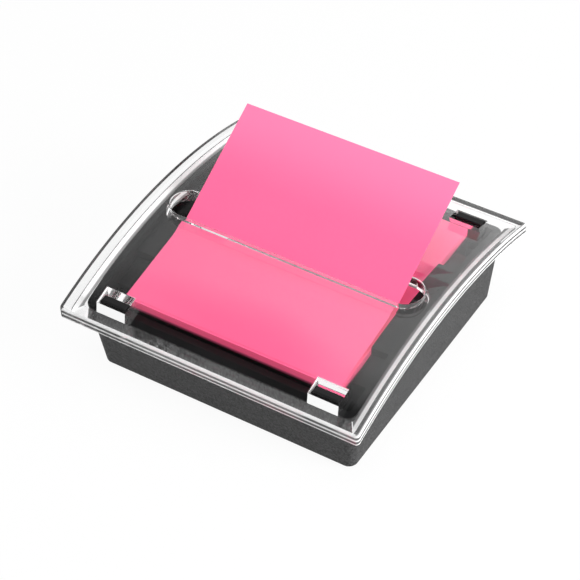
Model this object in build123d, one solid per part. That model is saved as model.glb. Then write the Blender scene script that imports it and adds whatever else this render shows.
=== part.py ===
from build123d import *
import os
from math import asin, atan2, cos, degrees, hypot, radians, sin, sqrt, tan

# Sizes in millimetres, angles in degrees. X runs along the front edge, Y to the back, Z up from the desk.

# Note paper
note_side = 76.2
sheet_thickness = 0.1
pad_sheet_count = 100
pad_back_shift = 1.0
pad_headroom = 0.7
note_lean = 28.0
note_drawn = 0.6
note_bend_radius = 12.0
note_lip_gap = 0.5
note_pad_gap = 0.1

# Casing of the base: a drafted box whose side walls rise with the arch of the cover
side_margin = 7.1
end_margin = 4.9
casing_draft = 5.6
casing_wall = 2.4
casing_floor = 2.0
casing_corner_radius = 3.0
casing_inner_radius = 1.2
casing_foot_radius = 0.9
rim_gap = 0.25

# Guides and stops that keep the pad in place inside the casing
pad_clearance = 0.6
guide_length = 40.0
guide_drop = 2.4
guide_step_length = 11.0
guide_step_drop = 2.6
stop_height = 6.0
stop_gap = 0.7

# Clear cover: an arched plate whose rim is thinner, with a small step and a bevel below
cover_overhang_side = 7.5
cover_overhang_end = 8.65
cover_thickness = 5.5
cover_rise = 8.5
cover_edge_height = 27.0
rim_wall_height = 3.7
rim_step_inset = 2.7
rim_step_depth = 3.9
rim_step_height = 0.6
rim_bevel_inset = 5.1
rim_end_bevel_inset = 6.1
cover_corner_radius = 1.2
cover_edge_radius = 0.7

# Slot that the notes pop up through, chamfered below
slot_end_room = 6.6
slot_width = 11.5
slot_back_shift = -0.5
slot_flare = 1.3
slot_edge_radius = 0.4

# Corner windows of the cover and the tabs of the casing that stand in them
tab_length = 9.2
tab_thickness = 2.9
tab_corner_inset = 7.8
tab_wall_inset = 0.9
tab_back_shift = -0.4
tab_recess = 0.3
tab_root = 6.0
tab_edge_radius = 0.6
window_side_gap = 0.6
window_outer_gap = 0.6
window_inner_gap = 2.3
window_back_shift = -0.7

# Bottom plate and its screws
plate_thickness = 2.0
plate_clearance = 0.15
plate_corner_radius = 1.6
screw_edge_inset = 6.0
screw_spacing = 36.0
screw_length = 9.0
screw_radius = 1.25
screw_head_radius = 2.6
screw_head_height = 1.2
screw_hole_clearance = 0.25
screw_seat_clearance = 0.4
screw_thread_clearance = 0.05
boss_radius = 3.2

# Steel ballast and the fences and ribs that hold it
ballast_width = 62.0
ballast_boss_gap = 1.55
ballast_cover_drop = 17.0
ballast_corner_radius = 2.0
ballast_clearance = 0.2
fence_thickness = 1.5
fence_height = 3.0
rib_thickness = 2.0
rib_spacing = 40.0

# Rubber feet, stuck into shallow recesses of the bottom plate
foot_radius = 5.0
foot_thickness = 1.6
foot_recess = 0.6
foot_recess_clearance = 0.15
foot_edge_inset = 9.0
foot_edge_chamfer = 0.4

# Cutting shapes run past the faces that they cut by this much
overrun = 2.0

# How edges are picked out: points looked at along an edge, and how close they lie to the arch
edge_shares = (0.0, 0.3, 0.7, 1.0)
match_tolerance = 0.01

# Heights
casing_low = foot_thickness - foot_recess
cover_edge_top = casing_low + cover_edge_height
cover_crown = cover_edge_top + cover_rise
plate_top = casing_low + plate_thickness
ballast_thickness = cover_edge_top - ballast_cover_drop - plate_top

# Plan sizes
draft_slope = tan(radians(casing_draft))
casing_width = note_side + 2 * side_margin
casing_depth = note_side + 2 * end_margin
cover_width = casing_width + 2 * cover_overhang_side
cover_depth = casing_depth + 2 * cover_overhang_end
slot_length = note_side + 2 * slot_end_room
pad_front = pad_back_shift - note_side / 2
pad_back = pad_back_shift + note_side / 2
plate_width = casing_width - 2 * (casing_wall + plate_clearance)
plate_depth = casing_depth - 2 * (casing_wall + plate_clearance)

# The ballast fills the room that the screw bosses leave between front and back
screw_y = plate_depth / 2 - screw_edge_inset
fence_reach = screw_y - boss_radius - ballast_boss_gap
ballast_depth = 2 * (fence_reach - fence_thickness - ballast_clearance)

# Arch of the cover: both faces are arcs about one line along X
arch_radius = (cover_depth ** 2 / 4 + cover_rise ** 2) / (2 * cover_rise)
arch_centre = cover_crown - arch_radius


def arch_height(y, drop=0):
    """Height at depth y of the arc that lies drop below the top face of the cover."""
    return arch_centre + sqrt((arch_radius - drop) ** 2 - y ** 2)


# Pad, floor and tabs follow from the arch
pad_height = pad_sheet_count * sheet_thickness
pad_top = arch_height(pad_back, cover_thickness) - pad_headroom
floor_top = pad_top - pad_height
floor_low = floor_top - casing_floor
rim_half_depth = casing_depth / 2 + draft_slope * (cover_edge_height - cover_thickness)
tab_x = casing_width / 2 - tab_corner_inset
tab_y = rim_half_depth - tab_wall_inset - tab_thickness / 2
corners = {
    "front_left": (-1, -1),
    "front_right": (1, -1),
    "back_left": (-1, 1),
    "back_right": (1, 1),
}


def drafted_block(inset, corner_radius, low, high):
    """Rounded block that follows the casing's drafted walls, inset from their outer faces."""
    faces = []
    for height in (low, high):
        spread = 2 * draft_slope * (height - casing_low) - 2 * inset
        outline = RectangleRounded(casing_width + spread, casing_depth + spread, corner_radius)
        faces.append(Pos(0, 0, height) * outline)
    return loft(faces, ruled=True)


def under_arch(drop):
    """All the space under the arc that lies drop below the top face of the cover."""
    disc = Plane.YZ * Pos(0, arch_centre) * Circle(arch_radius - drop)
    return extrude(disc, amount=cover_width, both=True)


def upright_box(low, high):
    """Box between two opposite corners."""
    size = [b - a for a, b in zip(low, high)]
    middle = [(a + b) / 2 for a, b in zip(low, high)]
    return Pos(*middle) * Box(*size)


def make_tab(side, end):
    """One corner tab of the casing, with a rounded top that stands in its window of the cover."""
    y = end * tab_y + tab_back_shift
    root = arch_height(y, cover_thickness) - rim_gap - tab_root
    top = arch_height(y) - tab_recess
    tab = Box(tab_length, tab_thickness, top - root)
    tab = fillet(tab.edges().group_by(Axis.Z)[-1], tab_edge_radius)
    return Pos(side * tab_x, y, (top + root) / 2) * tab


def make_side_guide(side):
    """Ledge along one side wall: a high middle and two lower steps, all following the arch."""
    inner = side * (note_side / 2 + pad_clearance)
    outer = side * casing_width
    low_x, high_x = min(inner, outer), max(inner, outer)
    levels = {
        guide_length / 2: cover_thickness + guide_drop,
        guide_length / 2 + guide_step_length: cover_thickness + guide_drop + guide_step_drop,
    }
    guide = Part()
    for reach, drop in levels.items():
        block = upright_box((low_x, -reach, floor_low), (high_x, reach, cover_crown))
        guide += block & under_arch(drop)
    return guide & drafted_block(casing_wall / 2, casing_inner_radius, floor_low, cover_crown)


def make_casing():
    """Casing of the base, with its floor, pad guides, screw bosses and corner tabs."""
    outer = drafted_block(0, casing_corner_radius, casing_low, cover_crown)
    outer = fillet(outer.edges().group_by(Axis.Z)[0], casing_foot_radius)
    casing = outer & under_arch(cover_thickness + rim_gap)
    casing -= drafted_block(casing_wall, casing_inner_radius, floor_top, cover_crown + overrun)
    casing -= drafted_block(casing_wall, casing_inner_radius, casing_low - overrun, floor_low)
    wall_line = casing_depth / 2 - casing_wall / 2
    front_stop = upright_box(
        (-tab_x, -wall_line, floor_low), (tab_x, pad_front - stop_gap, floor_top + stop_height)
    )
    back_stop = upright_box(
        (-tab_x, pad_back + stop_gap, floor_low), (tab_x, wall_line, floor_top + stop_height)
    )
    casing += [front_stop, back_stop, make_side_guide(-1), make_side_guide(1)]
    casing += [make_tab(*corner) for corner in corners.values()]
    boss_height = floor_low - plate_top + casing_floor / 2
    boss = Cylinder(boss_radius, boss_height, align=(Align.CENTER, Align.CENTER, Align.MIN))
    pilot = Cylinder(
        screw_radius + screw_thread_clearance,
        screw_length,
        align=(Align.CENTER, Align.CENTER, Align.MIN),
    )
    for x, y in screw_places():
        casing += Pos(x, y, plate_top) * boss
        casing -= Pos(x, y, casing_low + screw_head_height) * pilot
    rib_low = plate_top + ballast_thickness + ballast_clearance
    for side in (-1, 1):
        middle = side * rib_spacing / 2
        casing += upright_box(
            (middle - rib_thickness / 2, -ballast_depth / 2, rib_low),
            (middle + rib_thickness / 2, ballast_depth / 2, floor_low + casing_floor / 2),
        )
    return casing


def screw_places():
    """Plan positions of the bottom screws."""
    return [(side * screw_spacing / 2, end * screw_y) for side, end in corners.values()]


def foot_place(side, end):
    """Plan position of one foot."""
    return side * (plate_width / 2 - foot_edge_inset), end * (plate_depth / 2 - foot_edge_inset)


def make_bottom_plate():
    """Plate that closes the casing, with foot recesses, screw seats and a fence round the ballast."""
    plate = Pos(0, 0, casing_low) * extrude(
        RectangleRounded(plate_width, plate_depth, plate_corner_radius), amount=plate_thickness
    )
    inner_width = ballast_width + 2 * ballast_clearance
    inner_depth = ballast_depth + 2 * ballast_clearance
    fence = RectangleRounded(
        inner_width + 2 * fence_thickness, inner_depth + 2 * fence_thickness, ballast_corner_radius
    )
    fence -= RectangleRounded(inner_width, inner_depth, ballast_corner_radius)
    plate += Pos(0, 0, plate_top) * extrude(fence, amount=fence_height)
    for x, y in screw_places():
        plate -= Pos(x, y, casing_low) * Cylinder(
            screw_radius + screw_hole_clearance, 2 * (plate_thickness + overrun)
        )
        plate -= Pos(x, y, casing_low) * Cylinder(
            screw_head_radius + screw_seat_clearance, 2 * screw_head_height
        )
    for corner in corners.values():
        plate -= Pos(*foot_place(*corner), casing_low) * Cylinder(
            foot_radius + foot_recess_clearance, 2 * foot_recess
        )
    return plate


def make_screws():
    """Four pan-head screws, driven up through the bottom plate."""
    upward = (Align.CENTER, Align.CENTER, Align.MIN)
    screw = Cylinder(screw_head_radius, screw_head_height, align=upward)
    screw += Pos(0, 0, screw_head_height) * Cylinder(
        screw_radius, screw_length - 2 * screw_head_height, align=upward
    )
    return [Pos(x, y, casing_low) * screw for x, y in screw_places()]


def make_ballast():
    """Steel slab that weighs the base down."""
    outline = RectangleRounded(ballast_width, ballast_depth, ballast_corner_radius)
    return Pos(0, 0, plate_top) * extrude(outline, amount=ballast_thickness)


def make_foot(side, end):
    """One round rubber foot."""
    foot = Cylinder(foot_radius, foot_thickness, align=(Align.CENTER, Align.CENTER, Align.MIN))
    foot = chamfer(foot.edges().group_by(Axis.Z)[0], foot_edge_chamfer)
    return Pos(*foot_place(side, end), 0) * foot


def window_cutter(side, end, low, high):
    """Cutter for one corner window, round the tab that stands in it."""
    window_length = tab_length + 2 * window_side_gap
    window_depth = tab_thickness + window_outer_gap + window_inner_gap
    middle_y = end * (tab_y + (window_outer_gap - window_inner_gap) / 2) + window_back_shift
    outline = Pos(side * tab_x, middle_y, low) * Rectangle(window_length, window_depth)
    return extrude(outline, amount=high - low)


def arch_edges(shape, drop, reach_x, low_y, high_y):
    """Edges that lie on one face of the arch, inside a stretch of the plan."""
    found = ShapeList()
    for edge in shape.edges():
        points = [edge.position_at(share) for share in edge_shares]
        if all(
            abs(p.X) < reach_x
            and low_y < p.Y < high_y
            and abs(p.Z - arch_height(p.Y, drop)) < match_tolerance
            for p in points
        ):
            found.append(edge)
    return found


def make_cover():
    """Clear cover: the arched plate, its stepped rim, the slot and four corner windows."""
    half_width, half_depth = cover_width / 2, cover_depth / 2
    rim = [
        (0, rim_wall_height),
        (rim_step_inset, rim_step_depth),
        (rim_step_inset, rim_step_depth + rim_step_height),
    ]
    side_rim = [(0, 0), *rim, (rim_bevel_inset, cover_thickness)]
    end_rim = [*rim, (rim_end_bevel_inset, cover_thickness)]
    right = [(half_width - inset, cover_crown - depth) for inset, depth in side_rim]
    left = [(-x, z) for x, z in reversed(right)]
    section = make_face(Polyline(*right, *left, close=True))
    spine = Axis((0, 0, arch_centre), (1, 0, 0))
    sweep = degrees(asin((half_depth + overrun) / (arch_radius - cover_thickness)))
    plate = revolve((Plane.XZ * section).rotate(spine, -sweep), spine, 2 * sweep)
    low = arch_height(half_depth, cover_thickness) - overrun
    high = cover_crown + overrun
    back = [(half_depth - inset, arch_height(half_depth - inset, depth)) for inset, depth in end_rim]
    back = [(half_depth, high), *back, (half_depth - rim_end_bevel_inset, low)]
    front = [(-y, z) for y, z in reversed(back)]
    ends = make_face(Polyline(*back, *front, close=True))
    cover = plate & extrude(Plane.YZ * ends, amount=cover_width, both=True)
    upright = [
        edge
        for edge in cover.edges()
        if all(abs(p.X) > half_width - rim_step_inset / 2 for p in edge.positions(edge_shares))
        and all(abs(p.Y) > half_depth - rim_step_inset / 2 for p in edge.positions(edge_shares))
    ]
    cover = fillet(upright, cover_corner_radius)
    cover = fillet(arch_edges(cover, 0, cover_width, -cover_depth, cover_depth), cover_edge_radius)
    slot = Pos(0, slot_back_shift, low) * SlotOverall(slot_length, slot_width)
    cover -= extrude(slot, amount=high - low)
    slot_front = slot_back_shift - slot_width
    slot_back = slot_back_shift + slot_width
    cover = fillet(arch_edges(cover, 0, slot_length, slot_front, slot_back), slot_edge_radius)
    under = arch_edges(cover, cover_thickness, slot_length, slot_front, slot_back)
    cover = chamfer(under, slot_flare)
    for corner in corners.values():
        cover -= window_cutter(*corner, low, high)
    return cover


def make_pad():
    """Pad of square notes in the casing's well."""
    return Pos(0, pad_back_shift, floor_top) * Box(
        note_side, note_side, pad_height, align=(Align.CENTER, Align.CENTER, Align.MIN)
    )


def make_popped_note():
    """Top note: a slight ramp up from the pad's front, a bend under the lip, then out of the slot."""
    lean = radians(note_lean)
    lip_y = slot_back_shift - slot_width / 2 - slot_flare
    lip_z = arch_height(lip_y, cover_thickness) - note_lip_gap - sheet_thickness
    bend_y = lip_y - note_bend_radius * sin(lean)
    bend_z = lip_z + note_bend_radius * cos(lean)
    run, rise = bend_y - pad_front - note_drawn, bend_z - pad_top - note_pad_gap
    ramp = atan2(rise, run) - asin(note_bend_radius / hypot(run, rise))
    ramp_length = sqrt(run ** 2 + rise ** 2 - note_bend_radius ** 2)
    straight_length = note_side - ramp_length - note_bend_radius * (lean - ramp)

    def turned(radius, angle, along=0):
        """Point of the bend at a radius and an angle, moved along the slope there."""
        y = bend_y + radius * sin(angle) + along * cos(angle)
        return y, bend_z - radius * cos(angle) + along * sin(angle)

    middle = (ramp + lean) / 2
    low_r, high_r = note_bend_radius, note_bend_radius - sheet_thickness
    outline = [
        Line(turned(low_r, ramp, -ramp_length), turned(low_r, ramp)),
        ThreePointArc(turned(low_r, ramp), turned(low_r, middle), turned(low_r, lean)),
        Line(turned(low_r, lean), turned(low_r, lean, straight_length)),
        Line(turned(low_r, lean, straight_length), turned(high_r, lean, straight_length)),
        Line(turned(high_r, lean, straight_length), turned(high_r, lean)),
        ThreePointArc(turned(high_r, lean), turned(high_r, middle), turned(high_r, ramp)),
        Line(turned(high_r, ramp), turned(high_r, ramp, -ramp_length)),
        Line(turned(high_r, ramp, -ramp_length), turned(low_r, ramp, -ramp_length)),
    ]
    profile = Plane.YZ * make_face(outline)
    return extrude(profile, amount=note_side / 2, both=True)


parts = {
    "base_casing": make_casing(),
    "bottom_plate": make_bottom_plate(),
    "ballast_plate": make_ballast(),
    "bottom_screws": Compound(children=make_screws()),
    "cover": make_cover(),
    "note_pad": make_pad(),
    "popped_note": make_popped_note(),
}
for name, corner in corners.items():
    parts[f"foot_{name}"] = make_foot(*corner)

os.makedirs("parts", exist_ok=True)
for name, solid in parts.items():
    export_step(solid, f"parts/{name}.step")
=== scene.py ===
"""Looks for a desk dispenser of pop-up notes: weighted base, pad, clear arched cover and popped note."""

from __future__ import annotations

import logging
import math
import random
from dataclasses import dataclass
from enum import Enum

import bmesh
import bpy
from bmesh.types import BMEdge, BMesh, BMFace, BMVert
from bpy.types import Material, Node, NodeSocket, NodeTree, Object
from mathutils import Matrix, Vector

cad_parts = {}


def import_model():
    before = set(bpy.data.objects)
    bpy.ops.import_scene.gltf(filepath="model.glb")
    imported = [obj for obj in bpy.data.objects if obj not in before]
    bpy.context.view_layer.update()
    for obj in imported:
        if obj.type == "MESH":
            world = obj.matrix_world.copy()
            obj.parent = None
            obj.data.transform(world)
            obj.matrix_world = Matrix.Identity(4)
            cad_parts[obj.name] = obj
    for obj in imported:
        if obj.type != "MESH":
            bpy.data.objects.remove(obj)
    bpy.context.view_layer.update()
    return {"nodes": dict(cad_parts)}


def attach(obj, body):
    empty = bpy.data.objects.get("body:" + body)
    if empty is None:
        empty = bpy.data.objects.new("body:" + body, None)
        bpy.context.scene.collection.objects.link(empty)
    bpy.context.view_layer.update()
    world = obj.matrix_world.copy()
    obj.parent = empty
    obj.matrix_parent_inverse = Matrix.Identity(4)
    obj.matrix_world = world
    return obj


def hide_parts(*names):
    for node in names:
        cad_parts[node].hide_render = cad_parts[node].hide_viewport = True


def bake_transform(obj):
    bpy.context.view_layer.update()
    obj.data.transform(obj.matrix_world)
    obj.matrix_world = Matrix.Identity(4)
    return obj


Triple = tuple[float, float, float]
Tones = tuple[Triple, Triple]
Span = tuple[float, float]

MM = 0.001
# Vertex layer that carries the painted highlight on the upper part of the popped note.
PAINTED_HIGHLIGHT_LAYER = "painted_top_highlight"
TOUCH = 1e-7
BLACK = (0.0, 0.0, 0.0)
WHITE = (1.0, 1.0, 1.0)
UNIT = (0.0, 1.0)
# Most values of a noise lie in this span.
MIDDLE = (0.3, 0.7)
SEE_THROUGH = {"IOR": 1.49, "Transmission Weight": 1.0}
log = logging.getLogger("dispenser")


class Body(Enum):
    """The CAD bodies that pieces ride on."""

    BASE = "base"
    COVER = "cover"
    NOTE = "note"


class Rim(Enum):
    """Which outline of the clear cover a vertex lies on."""

    NONE = 0
    OUTSIDE = 1
    SLOT = 2
    WINDOW = 3


class Skin(Enum):
    """The clear cover's surfaces, numbered as its material slots."""

    CLEAR = 0
    WALL = 1
    FACET = 2
    BAND = 3


@dataclass(frozen=True)
class Arch:
    """The arc that the cover follows from front to back.

    Args:
        crown: Height of the top face in the middle.
        rise: How much lower the top face is at the front and back.
        depth: Size of the cover from front to back.
    """

    crown: float = 36.5 * MM
    rise: float = 8.5 * MM
    depth: float = 103.3 * MM

    @property
    def radius(self) -> float:
        """Radius of the cover's top face."""
        return (self.depth**2 / 4 + self.rise**2) / (2 * self.rise)

    @property
    def centre(self) -> float:
        """Height of the arc's centre line."""
        return self.crown - self.radius

    def height(self, y: float, drop: float = 0.0) -> float:
        """Height at depth y of the arc that lies drop below the top face."""
        return self.centre + math.sqrt((self.radius - drop) ** 2 - y * y)


@dataclass(frozen=True)
class Noise:
    """A noise pattern: how fine it is, how many finer layers it has and how strong these are."""

    scale: float
    detail: float = 2.0
    rough: float = 0.5


@dataclass(frozen=True)
class Relief:
    """How strongly a pattern shows as relief, and how high it stands."""

    strength: float
    distance: float


def rgba(colour: Triple) -> tuple[float, float, float, float]:
    """A linear colour with full alpha."""
    return (*colour, 1.0)


class Tree:
    """A material's or world's node tree with short ways to add nodes and links."""

    def __init__(self, tree: NodeTree) -> None:
        """Starts from an empty tree."""
        self.tree = tree
        tree.nodes.clear()

    def add(self, kind: str, inputs: dict | None = None, **settings: object) -> Node:
        """Adds one node.

        Args:
            kind: Blender's node type.
            inputs: Values or sockets for its inputs, by name or index.
            settings: Properties of the node itself.

        Returns:
            The new node.
        """
        node = self.tree.nodes.new(kind)
        for name, value in settings.items():
            setattr(node, name, value)
        for name, value in (inputs or {}).items():
            if isinstance(value, NodeSocket):
                self.tree.links.new(value, node.inputs[name])
            else:
                node.inputs[name].default_value = value
        return node

    def math(self, operation: str, a: object, b: object = 0.0) -> NodeSocket:
        """One Math node's result."""
        return self.add("ShaderNodeMath", {0: a, 1: b}, operation=operation).outputs[0]

    def vector(self, operation: str, a: object, b: object = (0.0, 0.0, 0.0)) -> Node:
        """One Vector Math node."""
        return self.add("ShaderNodeVectorMath", {0: a, 1: b}, operation=operation)

    def spread(self, value: NodeSocket, source: Span, target: Span, smooth: bool = False) -> NodeSocket:
        """Maps a value from one span to another, held at its ends.

        Args:
            value: The value to map.
            source: The span that it comes from.
            target: The span that it goes to.
            smooth: Ease in and out at the ends.

        Returns:
            The mapped value.
        """
        kind = "SMOOTHSTEP" if smooth else "LINEAR"
        ends = dict(zip(("From Min", "From Max", "To Min", "To Max"), (*source, *target)))
        node = self.add("ShaderNodeMapRange", {"Value": value, **ends}, interpolation_type=kind)
        return node.outputs["Result"]

    def mix(self, share: object, a: object, b: object) -> NodeSocket:
        """Mixes two colours."""
        return self.add("ShaderNodeMix", {0: share, 6: a, 7: b}, data_type="RGBA").outputs[2]

    def between(self, share: NodeSocket, tones: Tones) -> NodeSocket:
        """A colour between two tones."""
        return self.mix(share, rgba(tones[0]), rgba(tones[1]))

    def mix_shaders(self, share: object, a: NodeSocket, b: NodeSocket) -> NodeSocket:
        """Mixes two shaders."""
        return self.add("ShaderNodeMixShader", {0: share, 1: a, 2: b}).outputs[0]

    def place(self) -> NodeSocket:
        """Object coordinates, in metres in the shared frame."""
        return self.add("ShaderNodeTexCoord").outputs["Object"]

    def axes(self, where: NodeSocket) -> list[NodeSocket]:
        """The three parts of a vector."""
        return list(self.add("ShaderNodeSeparateXYZ", {0: where}).outputs)

    def noise(self, where: NodeSocket, noise: Noise) -> NodeSocket:
        """Noise from 0 to 1."""
        inputs = {"Vector": where, "Scale": noise.scale, "Detail": noise.detail, "Roughness": noise.rough}
        return self.add("ShaderNodeTexNoise", inputs).outputs["Fac"]

    def bump(self, height: NodeSocket, relief: Relief) -> NodeSocket:
        """A bump normal."""
        inputs = {"Height": height, "Strength": relief.strength, "Distance": relief.distance}
        return self.add("ShaderNodeBump", inputs).outputs["Normal"]

    def surface(self, inputs: dict) -> NodeSocket:
        """A Principled shader with these inputs."""
        return self.add("ShaderNodeBsdfPrincipled", inputs).outputs[0]

    def lamps_pass(self, shader: NodeSocket, colour: Triple) -> NodeSocket:
        """Lets lamp light pass straight through a shader.

        Args:
            shader: The shader for all other light.
            colour: The tint of the light that passes.

        Returns:
            The joined shader.
        """
        through = self.add("ShaderNodeBsdfTransparent", {"Color": rgba(colour)}).outputs[0]
        ray = self.add("ShaderNodeLightPath").outputs["Is Shadow Ray"]
        return self.mix_shaders(ray, shader, through)

    def output(self, shader: NodeSocket, kind: str = "ShaderNodeOutputMaterial") -> None:
        """Links the finished shader to the output."""
        self.add(kind, {"Surface": shader})


@dataclass(frozen=True)
class Finish:
    """A named finish that makes one material."""

    name: str

    def shade(self, tree: Tree) -> None:
        """Fills the node tree."""
        raise NotImplementedError

    def material(self) -> Material:
        """Makes the material.

        Returns:
            The new material, with its node tree filled.
        """
        made = bpy.data.materials.new(self.name)
        made.use_nodes = True
        self.shade(Tree(made.node_tree))
        return made


@dataclass(frozen=True)
class CasingPlastic(Finish):
    """Charcoal plastic: finely grained on the drafted outer walls, smooth and blacker inside."""

    name: str = "casing_plastic"
    half_width: float = 45.2 * MM
    half_depth: float = 43.0 * MM
    low: float = 1.0 * MM
    draft: float = math.radians(5.6)
    corner: float = 3.0 * MM
    skin: float = 0.35 * MM
    grain: Noise = Noise(1300.0, 3.0, 0.7)
    cloud: Noise = Noise(70.0)
    contrast: Span = (0.36, 0.64)
    outer_tones: Tones = ((0.012, 0.012, 0.0122), (0.072, 0.072, 0.073))
    inner_tones: Tones = ((0.006, 0.006, 0.0063), (0.01, 0.01, 0.0105))
    outer_rough: Span = (0.48, 0.66)
    inner_rough: Span = (0.2, 0.28)
    gloss: Span = (0.18, 0.22)
    relief: Relief = Relief(1.0, 0.35 * MM)

    def outside(self, tree: Tree, where: NodeSocket) -> NodeSocket:
        """A mask of the outer walls.

        Args:
            tree: The material's node tree.
            where: Object coordinates.

        Returns:
            1 on the outer walls and 0 inside.
        """
        axes = tree.axes(where)
        rise = tree.math("MULTIPLY", tree.math("SUBTRACT", axes[2], self.low), math.tan(self.draft))
        squares = []
        for axis, half in zip(axes, (self.half_width, self.half_depth)):
            beyond = tree.math("SUBTRACT", tree.math("ABSOLUTE", axis), half - self.corner)
            past = tree.math("MAXIMUM", tree.math("SUBTRACT", beyond, rise), 0.0)
            squares.append(tree.math("MULTIPLY", past, past))
        reach = tree.math("SQRT", tree.math("ADD", *squares))
        return tree.math("GREATER_THAN", reach, self.corner - self.skin)

    def shade(self, tree: Tree) -> None:
        """Grain, colour and gloss for the two kinds of surface.

        Args:
            tree: The material's empty node tree.
        """
        where = tree.place()
        outer = self.outside(tree, where)
        inner = tree.math("SUBTRACT", 1.0, outer)
        grain = tree.noise(where, self.grain)
        cloud = tree.noise(where, self.cloud)
        dark = tree.between(cloud, self.inner_tones)
        grey = tree.between(tree.spread(grain, self.contrast, UNIT), self.outer_tones)
        rough_out = tree.math("MULTIPLY", tree.spread(grain, MIDDLE, self.outer_rough), outer)
        rough_in = tree.math("MULTIPLY", tree.spread(cloud, MIDDLE, self.inner_rough), inner)
        inputs = {
            "Base Color": tree.mix(outer, dark, grey),
            "Roughness": tree.math("ADD", rough_out, rough_in),
            "Specular IOR Level": tree.spread(outer, UNIT, self.gloss),
            "Normal": tree.bump(tree.math("MULTIPLY", grain, outer), self.relief),
        }
        tree.output(tree.surface(inputs))


@dataclass(frozen=True)
class MouldedPlastic(Finish):
    """Plain dark plastic with a fine spark-eroded grain."""

    name: str = "plate_plastic"
    grain: Noise = Noise(2600.0)
    cloud: Noise = Noise(45.0, 3.0)
    tones: Tones = ((0.016, 0.016, 0.017), (0.027, 0.027, 0.028))
    rough: Span = (0.5, 0.68)
    relief: Relief = Relief(0.4, 0.06 * MM)

    def shade(self, tree: Tree) -> None:
        """Fine grain over a dark colour with faint cloudiness.

        Args:
            tree: The material's empty node tree.
        """
        where = tree.place()
        grain = tree.noise(where, self.grain)
        inputs = {
            "Base Color": tree.between(tree.noise(where, self.cloud), self.tones),
            "Roughness": tree.spread(grain, MIDDLE, self.rough),
            "Normal": tree.bump(grain, self.relief),
        }
        tree.output(tree.surface(inputs))


@dataclass(frozen=True)
class Steel(Finish):
    """Rolled or plated steel with streaks along one direction."""

    name: str = "steel"
    light: float = 0.6
    streaks: Triple = (60.0, 1400.0, 900.0)
    streak: Noise = Noise(1.0, 3.0)
    shades: Span = (0.8, 1.05)
    blue: float = 1.02
    rough: Span = (0.28, 0.46)
    relief: Relief = Relief(0.15, 0.02 * MM)

    def shade(self, tree: Tree) -> None:
        """Streaked metal.

        Args:
            tree: The material's empty node tree.
        """
        stretched = tree.add("ShaderNodeMapping", {"Vector": tree.place(), "Scale": self.streaks}).outputs[0]
        streak = tree.noise(stretched, self.streak)
        greys = [self.light * share for share in self.shades]
        low, high = [(grey, grey, grey * self.blue) for grey in greys]
        inputs = {
            "Base Color": tree.between(streak, (low, high)),
            "Metallic": 1.0,
            "Roughness": tree.spread(streak, MIDDLE, self.rough),
            "Normal": tree.bump(streak, self.relief),
        }
        tree.output(tree.surface(inputs))


@dataclass(frozen=True)
class FootRubber(Finish):
    """Dull black rubber with a fine pebbled skin."""

    name: str = "foot_rubber"
    pebbles: float = 1500.0
    dust: Noise = Noise(220.0, 4.0)
    dusty: Span = (0.45, 0.75)
    tones: Tones = ((0.008, 0.008, 0.008), (0.022, 0.021, 0.02))
    rough: float = 0.85
    relief: Relief = Relief(0.5, 0.05 * MM)

    def shade(self, tree: Tree) -> None:
        """Pebbles and a little dust.

        Args:
            tree: The material's empty node tree.
        """
        where = tree.place()
        pebbles = {"Vector": where, "Scale": self.pebbles}
        cells = tree.add("ShaderNodeTexVoronoi", pebbles).outputs["Distance"]
        dust = tree.spread(tree.noise(where, self.dust), self.dusty, UNIT)
        inputs = {
            "Base Color": tree.between(dust, self.tones),
            "Roughness": self.rough,
            "Normal": tree.bump(cells, self.relief),
        }
        tree.output(tree.surface(inputs))


@dataclass(frozen=True)
class NotePaper(Finish):
    """Bright fluorescent paper with a faint fibre, and a painted highlight that makes it paler where it
    stands out of the slot.

    Args:
        painted_shade_heights: Heights between which the paper turns black in painted shade, standing in for
            the shadow deep in a well; below the feet if it doesn't.
    """

    name: str = "note_paper"
    pale: Triple = (0.99, 0.162, 0.34)
    deep: Triple = (0.98, 0.14, 0.305)
    # Paler colour of the painted highlight towards the top of the popped note.
    painted_highlight_tone: Triple = (0.99, 0.215, 0.405)
    # Painted emission, partly the paper's fluorescence and partly painted light that lifts its shade.
    painted_glow: float = 0.1
    # Heights of the painted shade; below the feet by default, so there is none.
    painted_shade_heights: Span = (-2.0 * MM, -1.0 * MM)
    fibre: Noise = Noise(900.0, 5.0, 0.65)
    cloud: Noise = Noise(40.0)
    fibre_share: float = 0.6
    rough: float = 0.8
    gloss: float = 0.15
    relief: Relief = Relief(0.12, 0.03 * MM)

    def shade(self, tree: Tree) -> None:
        """Fibres in colour and relief, a painted highlight and painted emission, and painted shade that
        turns the paper black below the heights where it lies deep in a well.

        Args:
            tree: The material's empty node tree.
        """
        where = tree.place()
        fibre = tree.noise(where, self.fibre)
        cloud = tree.noise(where, self.cloud)
        fine = tree.math("MULTIPLY", fibre, self.fibre_share)
        coarse = tree.math("MULTIPLY", cloud, 1 - self.fibre_share)
        fresh = tree.between(tree.math("ADD", fine, coarse), (self.deep, self.pale))
        # Share of the painted highlight, paler towards the top of the popped note.
        highlight_share = tree.add("ShaderNodeAttribute", attribute_name=PAINTED_HIGHLIGHT_LAYER).outputs["Fac"]
        # Painted shade: black below the given heights, standing in for the shadow in the casing's well.
        lit = tree.spread(tree.axes(where)[2], self.painted_shade_heights, UNIT, True)
        colour = tree.mix(lit, rgba(BLACK), tree.mix(highlight_share, fresh, rgba(self.painted_highlight_tone)))
        inputs = {
            "Base Color": colour,
            "Roughness": self.rough,
            "Specular IOR Level": self.gloss,
            "Normal": tree.bump(fibre, self.relief),
            # Painted emission in the paper's own colour, lifting its shade.
            "Emission Color": colour,
            "Emission Strength": self.painted_glow,
        }
        tree.output(tree.surface(inputs))


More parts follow.
